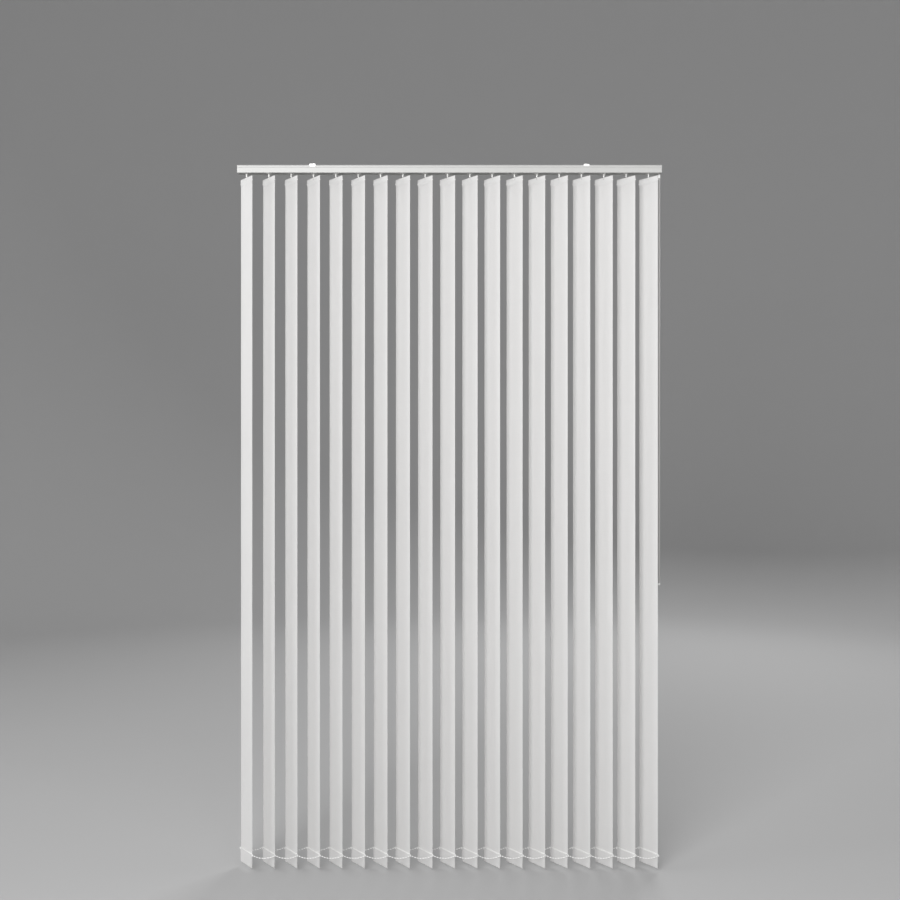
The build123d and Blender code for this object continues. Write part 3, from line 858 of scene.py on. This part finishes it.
    def hang(self, number: int, x: float, draw: random.Random) -> None:
        """Hangs the four pieces of one vane.

        Args:
            number: The vane's number, from 1 at the left.
            x: The X of its axis.
            draw: The source of this vane's numbers.
        """
        turn = Matrix.Translation((x, 0, 0)) @ Matrix.Rotation(self.tilt, 4, "Z")
        for kind, master in self.masters.items():
            mesh = master.data.copy()
            if kind == "cloth":
                self.drape(mesh, draw)
            mesh.transform(turn)
            piece = bpy.data.objects.new(f"{kind}_{number:02d}", mesh)
            bpy.context.scene.collection.objects.link(piece)
            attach(piece, f"turning_vane_{number:02d}")
            if kind == "cloth":
                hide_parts(f"vane_{number:02d}")


# ---- Bead chains --------------------------------------------------------------------------------------


@dataclass
class BeadChain:
    """One chain of beads that links the eyelets along an edge of the vanes."""

    side: Side
    pivots: list[Vector]
    anchor: Vector
    keep: float
    bead_length: float = 6.2 * MM
    bead_radius: float = 1.9 * MM
    bead_pitch: float = 9.6 * MM
    cord_radius: float = 0.5 * MM
    clip: float = 2.08 * MM
    link_radius: float = 2.05 * MM
    link_wire: float = 0.65 * MM
    diameter: float = 3.6 * MM

    # The hang of one span: how far along from an eyelet, and how far below it, in millimetres.
    SPAN: ClassVar[Outline] = (
        (2.0, 0.0), (12.5, -5.0), (27.5, -8.8), (51.5, -8.8), (66.5, -5.0), (77.0, 0.0),
    )

    @property
    def edge(self) -> str:
        """The edge's name, as the nodes and bodies have it."""
        return self.side.name.lower()

    def route(self) -> list[Vector]:
        """The points of the chain's own spline, the same hang repeated from eyelet to eyelet."""
        points = [self.pivots[0].copy()]
        for pivot in self.pivots[:-1]:
            points += [pivot + Vector((along * MM, 0, below * MM)) for along, below in self.SPAN]
        return points + [self.pivots[-1].copy()]

    def line(self) -> list[Vector]:
        """The smooth line through the route, read from its spline."""
        curve = bpy.data.curves.new("chain_route", "CURVE")
        curve.dimensions = "3D"
        curve.resolution_u = 12
        spline = curve.splines.new("NURBS")
        route = self.route()
        spline.points.add(len(route) - 1)
        for point, place in zip(spline.points, route):
            point.co = (*place, 1)
        spline.order_u = 3
        spline.use_endpoint_u = True
        holder = bpy.data.objects.new("chain_route", curve)
        bpy.context.scene.collection.objects.link(holder)
        bpy.context.view_layer.update()
        view = bpy.context.evaluated_depsgraph_get()
        mesh = bpy.data.meshes.new_from_object(holder.evaluated_get(view))
        points = [corner.co.copy() for corner in mesh.vertices]
        bpy.data.meshes.remove(mesh)
        bpy.data.objects.remove(holder)
        bpy.data.curves.remove(curve)
        return points

    def build(self) -> bpy.types.Object:
        """The chain as one mesh: its cord, its beads and a link round each eyelet's rim."""
        line = self.line()
        shape = bmesh.new()
        for span in self.spans(line):
            self.add_cord(shape, span)
            self.add_beads(shape, span)
        for pivot in self.pivots:
            self.add_link(shape, pivot)
        piece = finished(shape, f"beads_{self.edge}", BEAD_WHITE, BEAD_CREASE)
        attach(piece, f"{self.edge}_chain")
        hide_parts(f"chain_{self.edge}")
        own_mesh(piece)
        return piece

    def spans(self, line: list[Vector]) -> list[list[Vector]]:
        """The line cut at the eyelets, without the short stretch inside each link."""
        spans: list[list[Vector]] = []
        for first, last in zip(self.pivots, self.pivots[1:]):
            start, end = first.x + self.clip, last.x - self.clip
            spans.append([point for point in line if start <= point.x <= end])
        return spans

    def add_cord(self, shape: bmesh.types.BMesh, span: list[Vector]) -> None:
        """Sweeps the thin cord along one span."""
        ring: list[bmesh.types.BMVert] = []
        for place, point in enumerate(span):
            ahead = span[min(place + 1, len(span) - 1)] - span[max(place - 1, 0)]
            turn = Matrix.Translation(point) @ ahead.to_track_quat("Z", "Y").to_matrix().to_4x4()
            made = bmesh.ops.create_circle(shape, segments=6, radius=self.cord_radius, matrix=turn)["verts"]
            if ring:
                lines = {line for corner in ring + made for line in corner.link_edges}
                lines = [line for line in lines if all(end in ring or end in made for end in line.verts)]
                bmesh.ops.bridge_loops(shape, edges=lines)
            ring = made

    def add_beads(self, shape: bmesh.types.BMesh, span: list[Vector]) -> None:
        """Threads the beads evenly on one span."""
        steps = [(b - a).length for a, b in zip(span, span[1:])]
        total = sum(steps)
        count = max(1, round(total / self.bead_pitch))
        for bead in range(count):
            wanted = total * (bead + 0.5) / count
            place = 0
            while wanted > steps[place] and place < len(steps) - 1:
                wanted -= steps[place]
                place += 1
            ahead = (span[place + 1] - span[place]).normalized()
            turn = Matrix.Translation(span[place] + ahead * wanted)
            turn = turn @ ahead.to_track_quat("Z", "Y").to_matrix().to_4x4()
            turn = turn @ Matrix.Diagonal((1, 1, self.bead_length / (2 * self.bead_radius), 1))
            bmesh.ops.create_uvsphere(shape, u_segments=8, v_segments=6, radius=self.bead_radius, matrix=turn)

    def add_link(self, shape: bmesh.types.BMesh, pivot: Vector) -> None:
        """The flat link that snaps round an eyelet's rim."""
        hoop(shape, self.link_radius, self.link_wire, Matrix.Translation(pivot), 16, 6)


# ---- Rail, carriers and wand --------------------------------------------------------------------------


@dataclass
class RailSet:
    """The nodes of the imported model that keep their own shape."""

    nodes: dict[str, bpy.types.Object]

    def dress_all(self) -> None:
        """Gives each kept node its finish."""
        finishes = {
            "headrail": (SHADE_GREYED_COAT, Slot.RAIL),
            "bracket_left": (CLIP_ZINC, Slot.CLIP),
            "bracket_right": (CLIP_ZINC, Slot.CLIP),
            "end_cap_left": (SHADE_GREYED_CAP, Slot.CAP),
            "end_cap_right": (SHADE_GREYED_CAP, Slot.CAP),
            "end_cap_screws": (CLIP_ZINC, Slot.CLIP),
            "lead_carrier": (CARRIER_MILK, Slot.CARRIER),
            "tilt_rod": (ROD_METAL, Slot.ROD),
            "rod_gear": (CARRIER_MILK, Slot.CARRIER),
            "wand_shaft": (CARRIER_MILK, Slot.CARRIER),
            "wand_socket": (WAND_WHITE, Slot.WAND_TIP),
            "wand_rod": (WAND_FIBRE, Slot.WAND),
            "wand_cap": (WAND_WHITE, Slot.WAND_TIP),
        }
        for name, node in self.nodes.items():
            if name.startswith("carrier_"):
                dress(node, CARRIER_MILK, Slot.CARRIER)
            elif name in finishes:
                dress(node, *finishes[name])
                LOG.info("dressed %s", name)


# ---- Studio -------------------------------------------------------------------------------------------


@dataclass
class Studio:
    """A round pale stage, soft light and the camera."""

    floor: float
    radius: float = 9.0
    wall: float = 9.0
    sweep: float = 3.0
    camera_place: Triple = (0.0021, -4.005, -1.0068)
    lens: float = 45.28
    sensor: float = 36.0
    surround: float = 0.5

    SWEEP_STEPS: ClassVar[int] = 12
    ROUND_STEPS: ClassVar[int] = 96

    def build_stage(self) -> None:
        """The floor with its edge swept up into a wall all round."""
        shape = bmesh.new()
        flat = self.radius - self.sweep
        outline = [(0.0, self.floor), (flat, self.floor)]
        for step in range(1, self.SWEEP_STEPS + 1):
            angle = math.pi / 2 * step / self.SWEEP_STEPS
            height = self.floor + self.sweep * (1 - math.cos(angle))
            outline.append((flat + self.sweep * math.sin(angle), height))
        outline.append((self.radius, self.floor + self.wall))
        lathe(shape, outline, Matrix.Identity(4), self.ROUND_STEPS)
        bmesh.ops.reverse_faces(shape, faces=shape.faces[:])
        finished(shape, "stage", STUDIO_PAPER)

    def build_lights(self) -> None:
        """A large soft key and a fill in front, one lamp at the left, one behind, and an even surround."""
        self.panel("key", (-1.7, -5.2, 0.9), (0, 0, -1.1), 3.0, 290)
        self.panel("fill", (2.6, -5.4, 0.2), (0, 0, -1.2), 3.0, 130)
        self.panel("side", (-5.6, -0.8, 0.8), (0, 0, -1.25), 3.0, 80)
        self.panel("rear", (2.2, 5.4, 1.6), (0, 0, -1.3), 3.4, 170)
        world = bpy.data.worlds.new("surround")
        world.use_nodes = True
        sky = world.node_tree.nodes["Background"]
        sky.inputs["Color"].default_value = (1.0, 0.995, 0.99, 1)
        sky.inputs["Strength"].default_value = self.surround
        bpy.context.scene.world = world
        bpy.context.scene.view_settings.view_transform = "Standard"

    def panel(self, name: str, place: Triple, aim: Triple, size: float, power: float) -> None:
        """One square area light.

        Args:
            name: Its name.
            place: Where it stands.
            aim: The point that it faces.
            size: The length of its side.
            power: Its power in watts.
        """
        light = bpy.data.lights.new(name, "AREA")
        light.size = size
        light.energy = power
        lamp = bpy.data.objects.new(name, light)
        lamp.location = place
        lamp.rotation_euler = (Vector(aim) - Vector(place)).to_track_quat("-Z", "Y").to_euler()
        bpy.context.scene.collection.objects.link(lamp)

    def build_camera(self) -> None:
        """A level camera in front of the blind's middle."""
        data = bpy.data.cameras.new("camera")
        data.lens = self.lens
        data.sensor_width = self.sensor
        camera = bpy.data.objects.new("camera", data)
        camera.location = self.camera_place
        camera.rotation_euler = (math.pi / 2, 0, 0)
        bpy.context.scene.collection.objects.link(camera)
        bpy.context.scene.camera = camera


# ---- The whole blind ----------------------------------------------------------------------------------


@dataclass
class Blind:
    """The whole blind: hangs the vanes at the joints' axes and links them."""

    frame: dict
    vanes: int = 19
    vane_length: float = 2430.5 * MM
    stack_pitch: float = 19.0 * MM

    def axes(self) -> list[float]:
        """The X of each vane's axis, read from the tilt joints."""
        found = {joint["child"]: joint["pos_m"][0] for joint in self.frame["joints"] if "pos_m" in joint}
        return [found[f"turning_vane_{number:02d}"] for number in range(1, self.vanes + 1)]

    def build(self) -> None:
        """Dresses the rail, hangs the vanes and links them with the two chains."""
        RailSet(self.frame["nodes"]).dress_all()
        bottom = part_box("vane_01")[0].z
        vane = Vane(top=bottom + self.vane_length, bottom=bottom, rail_bottom=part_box("headrail")[0].z)
        vane.prepare()
        axes = self.axes()
        for number, x in enumerate(axes, 1):
            vane.hang(number, x, random.Random(SEED + number))
            LOG.info("hung vane %d", number)
        pitch = axes[1] - axes[0]
        for side in Side:
            reach = side.value * (vane.width / 2 + vane.eyelet_past_edge + vane.eyelet_radius)
            turn = Matrix.Rotation(vane.tilt, 3, "Z")
            offset = turn @ Vector((vane.eyelet_x, reach, 0))
            pivots = [Vector((x, 0, vane.eyelet_height)) + offset for x in axes]
            anchor = pivots[self.vanes // 2]
            BeadChain(side, pivots, anchor, self.stack_pitch / pitch).build()
            LOG.info("linked the %s chain", side.name.lower())


def main() -> None:
    """Builds the blind and the studio."""
    logging.basicConfig(level=logging.INFO, format="%(message)s")
    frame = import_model()
    studio = Studio(floor=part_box("vane_01")[0].z - FLOOR_GAP)
    studio.build_camera()
    Blind(frame).build()
    studio.build_stage()
    studio.build_lights()


if __name__ == "__main__":
    main()
